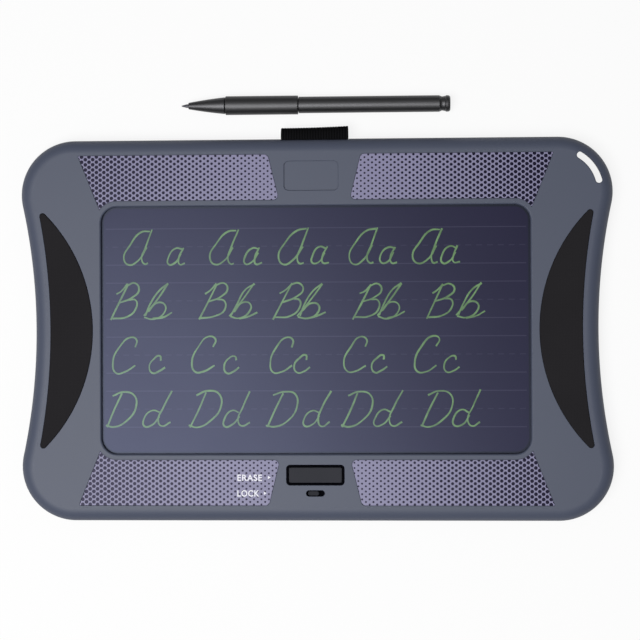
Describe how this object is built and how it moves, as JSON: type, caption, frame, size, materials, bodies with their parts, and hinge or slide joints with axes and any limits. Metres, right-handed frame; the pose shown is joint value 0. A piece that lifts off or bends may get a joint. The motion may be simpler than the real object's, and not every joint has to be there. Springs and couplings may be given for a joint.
{
  "type": "lcd writing tablet",
  "caption": "Hourglass writing tablet with a recessed dark film, rubber side grips, perforated corner inlays, erase key, lock slider, elastic stylus loop and loose stylus.",
  "frame": {"origin": "middle of the flat back face, on the surface that the tablet lies on", "axes": "+X along the long side to the right, +Y to the edge with the stylus loop, +Z out of the screen"},
  "size_m": [0.2604, 0.1877, 0.0133],
  "materials": {
    "housing": "satin moulded slate grey",
    "film": "dark indigo satin film",
    "foam": "closed cell foam",
    "backing": "plain sheet",
    "flex": "amber polyimide",
    "connector": "ivory moulding",
    "board": "green solder mask",
    "component": "black moulding",
    "stem": "red moulding",
    "capacitor": "tan ceramic",
    "steel": "plated",
    "grip_rubber": "fine textured black",
    "inlay": "lavender silver metallic",
    "seal_rubber": "smooth black",
    "key": "fine spark texture",
    "elastic": "ribbed black elastic",
    "stylus_body": "satin gunmetal black",
    "stylus_sleeve": "satin black",
    "nib": "dark acetal"
  },
  "bodies": {
    "tablet": {"front_bezel": "housing", "back_cover": "housing", "battery_door": "housing", "lcd_film": "film", "foam_frame": "foam", "backing_board": "backing", "flex_tail": "flex", "flex_connector": "connector", "main_board": "board", "erase_switch": "component", "lock_switch": "steel", "driver_chip": "component", "boost_coil": "component", "tank_capacitor": "capacitor", "coin_cell": "steel", "positive_contact": "steel", "negative_contact": "steel", "battery_door_screw": "steel", "housing_screw_1": "steel", "housing_screw_2": "steel", "housing_screw_3": "steel", "housing_screw_4": "steel", "housing_screw_5": "steel", "housing_screw_6": "steel", "housing_screw_7": "steel", "housing_screw_8": "steel", "board_screw_1": "steel", "board_screw_2": "steel", "loop_pin": "steel", "left_grip": "grip_rubber", "right_grip": "grip_rubber", "upper_left_panel": "inlay", "upper_right_panel": "inlay", "lower_left_panel": "inlay", "lower_right_panel": "inlay", "button_surround": "seal_rubber", "stylus_loop": "elastic"},
    "erase_key": {"erase_button": "key", "erase_switch_stem": "stem"},
    "lock": {"lock_slider": "key", "lock_switch_lever": "component"},
    "stylus": {"stylus_barrel": "stylus_body", "stylus_grip": "stylus_sleeve", "stylus_nose": "stylus_body", "stylus_nib": "nib", "stylus_end_cap": "stylus_body"}
  },
  "joints": [
    {"name": "erase_press", "type": "slide", "parent": "tablet", "child": "erase_key", "axis": [0, 0, -1], "range_m": [0, 0.0006], "stiffness_N_per_m": 1500},
    {"name": "lock_slide", "type": "slide", "parent": "tablet", "child": "lock", "axis": [1, 0, 0], "range_m": [0, 0.0021]},
    {"name": "stylus_lift", "type": "slide", "parent": "tablet", "child": "stylus", "axis": [0, 0, 1], "range_m": [0, 0.12]}
  ]
}
